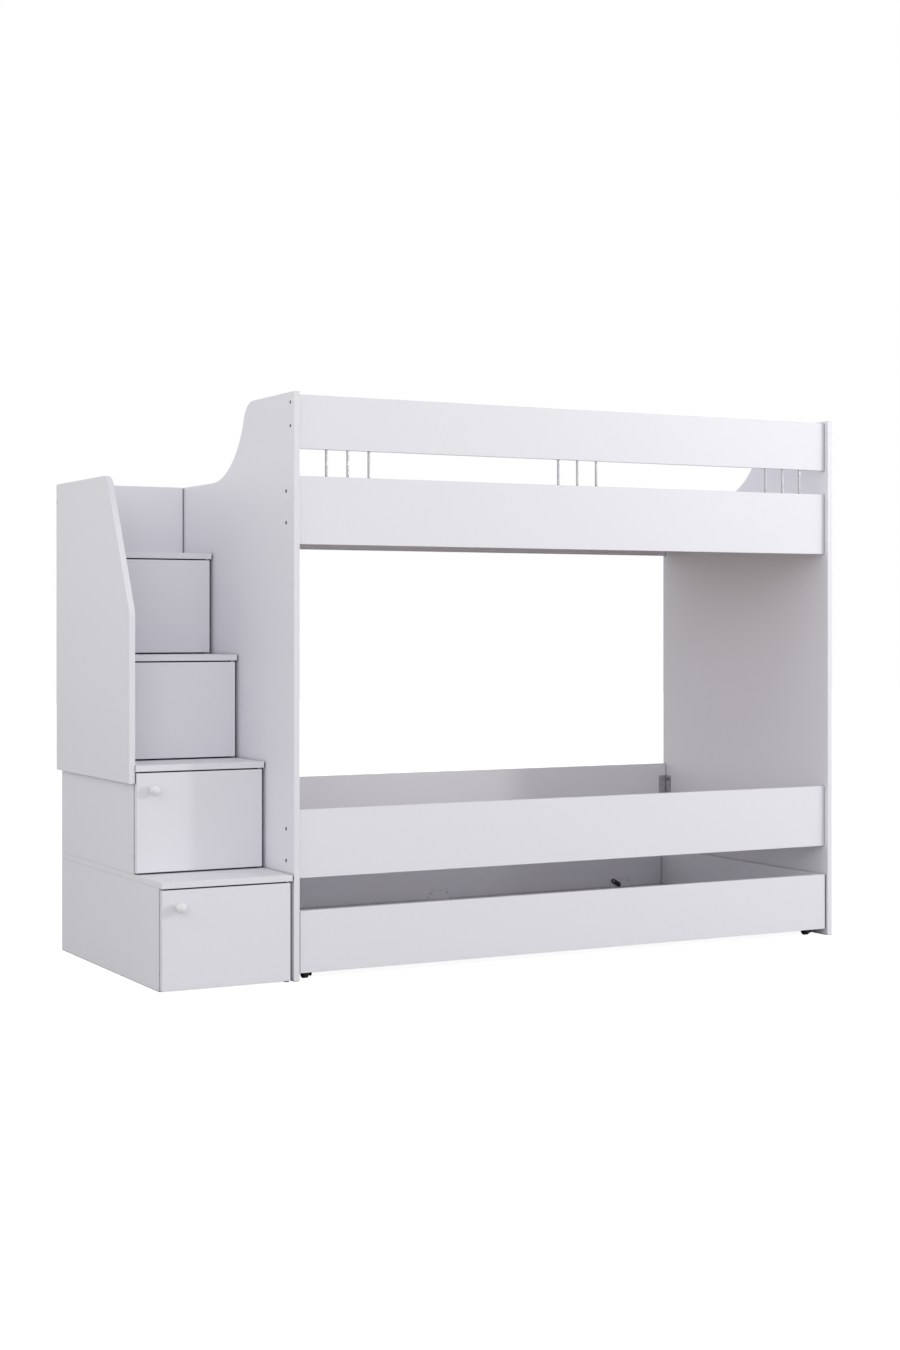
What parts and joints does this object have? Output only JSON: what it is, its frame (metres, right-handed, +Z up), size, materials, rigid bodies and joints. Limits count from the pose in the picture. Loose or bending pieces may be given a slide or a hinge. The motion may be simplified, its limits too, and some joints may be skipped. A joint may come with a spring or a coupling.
{
  "type": "bunk bed",
  "caption": "White bunk bed of flat boards with a storage stair at one end, cupboard doors under its treads and a trundle on casters below.",
  "frame": {"origin": "on the floor under the middle of the whole bed with its stair", "axes": "+X along the bed away from the stair, +Y from the front to the wall side, +Z up"},
  "size_m": [2.373, 1.008, 1.705],
  "materials": {
    "white_board": "satin white melamine on chipboard",
    "base_wood": "raw chipboard below, white melamine on top",
    "bar_steel": "satin",
    "zinc_steel": "zinc plated",
    "white_steel": "satin white",
    "black_steel": "satin black",
    "wheel_black": "moulded",
    "knob_white": "gloss white",
    "pale_rubber": "matte",
    "grey_nylon": "moulded",
    "beech_dowel": "bare"
  },
  "bodies": {
    "bed_frame": {"angle_bolts": "zinc_steel", "angle_nuts": "zinc_steel", "base_cleats": "white_board", "corner_angles": "zinc_steel", "door_stops": "pale_rubber", "guard_bars": "bar_steel", "guard_rail": "white_board", "left_end_panel": "white_board", "lower_back_rail": "white_board", "lower_front_rail": "white_board", "lower_slats": "white_board", "panel_screws": "zinc_steel", "pivot_brackets": "zinc_steel", "plate_screws": "zinc_steel", "right_end_panel": "white_board", "stair_back_panel": "white_board", "stair_bottom_board": "white_board", "stair_dowels": "beech_dowel", "stair_guard_panel": "white_board", "stair_left_side_1": "white_board", "stair_left_side_2": "white_board", "stair_left_side_3": "white_board", "stair_left_side_4": "white_board", "stair_right_side_1": "white_board", "stair_right_side_2": "white_board", "stair_right_side_3": "white_board", "stair_right_side_4": "white_board", "stair_tie_screws": "zinc_steel", "stair_tie_spacers": "grey_nylon", "tread_1": "white_board", "tread_2": "white_board", "tread_3": "white_board", "tread_4": "white_board", "upper_back_rail": "white_board", "upper_base_boards": "base_wood", "upper_front_rail": "white_board"},
    "trundle": {"caster_axles": "zinc_steel", "caster_brackets": "black_steel", "trundle_back": "white_board", "trundle_base_boards": "white_board", "trundle_bearers": "white_board", "trundle_clips": "white_steel", "trundle_front": "white_board", "trundle_left_side": "white_board", "trundle_right_side": "white_board", "trundle_screws": "zinc_steel"},
    "door_1": {"door_1": "white_board", "knob_1": "knob_white"},
    "door_2": {"door_2": "white_board", "knob_2": "knob_white"},
    "door_3": {"door_3": "white_board", "knob_3": "knob_white"},
    "door_4": {"door_4": "white_board", "knob_4": "knob_white"},
    "left_back_wheel": {"left_back_wheel": "wheel_black"},
    "left_front_wheel": {"left_front_wheel": "wheel_black"},
    "left_turn_button": {"left_turn_button": "black_steel"},
    "right_back_wheel": {"right_back_wheel": "wheel_black"},
    "right_front_wheel": {"right_front_wheel": "wheel_black"},
    "right_turn_button": {"right_turn_button": "black_steel"}
  },
  "joints": [
    {"name": "trundle_slide", "type": "slide", "parent": "bed_frame", "child": "trundle", "axis": [0, -1, 0], "range_m": [0, 0.9]},
    {"name": "door_1_swing", "type": "hinge", "parent": "bed_frame", "child": "door_1", "pos_m": [-0.7835, -0.457, 0.14575], "axis": [0, 0, 1], "range_deg": [0, 90]},
    {"name": "door_2_swing", "type": "hinge", "parent": "bed_frame", "child": "door_2", "pos_m": [-0.7835, -0.249, 0.45775], "axis": [0, 0, 1], "range_deg": [0, 90]},
    {"name": "door_3_swing", "type": "hinge", "parent": "bed_frame", "child": "door_3", "pos_m": [-0.7835, -0.041, 0.77275], "axis": [0, 0, 1], "range_deg": [0, 85]},
    {"name": "door_4_swing", "type": "hinge", "parent": "bed_frame", "child": "door_4", "pos_m": [-0.7835, 0.167, 1.08775], "axis": [0, 0, 1], "range_deg": [0, 85]},
    {"name": "left_front_wheel_spin", "type": "hinge", "parent": "trundle", "child": "left_front_wheel", "pos_m": [-0.6995, -0.413, 0.016], "axis": [1, 0, 0], "continuous": true},
    {"name": "right_front_wheel_spin", "type": "hinge", "parent": "trundle", "child": "right_front_wheel", "pos_m": [1.1225, -0.413, 0.016], "axis": [1, 0, 0], "continuous": true},
    {"name": "left_back_wheel_spin", "type": "hinge", "parent": "trundle", "child": "left_back_wheel", "pos_m": [-0.6995, 0.456, 0.016], "axis": [1, 0, 0], "continuous": true},
    {"name": "right_back_wheel_spin", "type": "hinge", "parent": "trundle", "child": "right_back_wheel", "pos_m": [1.1225, 0.456, 0.016], "axis": [1, 0, 0], "continuous": true},
    {"name": "left_button_turn", "type": "hinge", "parent": "trundle", "child": "left_turn_button", "pos_m": [-0.509, 0.4772, 0.092], "axis": [0, 1, 0], "range_deg": [0, 135]},
    {"name": "right_button_turn", "type": "hinge", "parent": "trundle", "child": "right_turn_button", "pos_m": [0.932, 0.4772, 0.092], "axis": [0, -1, 0], "range_deg": [0, 135]}
  ],
  "couplings": [
    {"joint": "left_front_wheel_spin", "follows": "trundle_slide", "rad_per_m": 62.5},
    {"joint": "right_front_wheel_spin", "follows": "trundle_slide", "rad_per_m": 62.5},
    {"joint": "left_back_wheel_spin", "follows": "trundle_slide", "rad_per_m": 62.5},
    {"joint": "right_back_wheel_spin", "follows": "trundle_slide", "rad_per_m": 62.5}
  ]
}
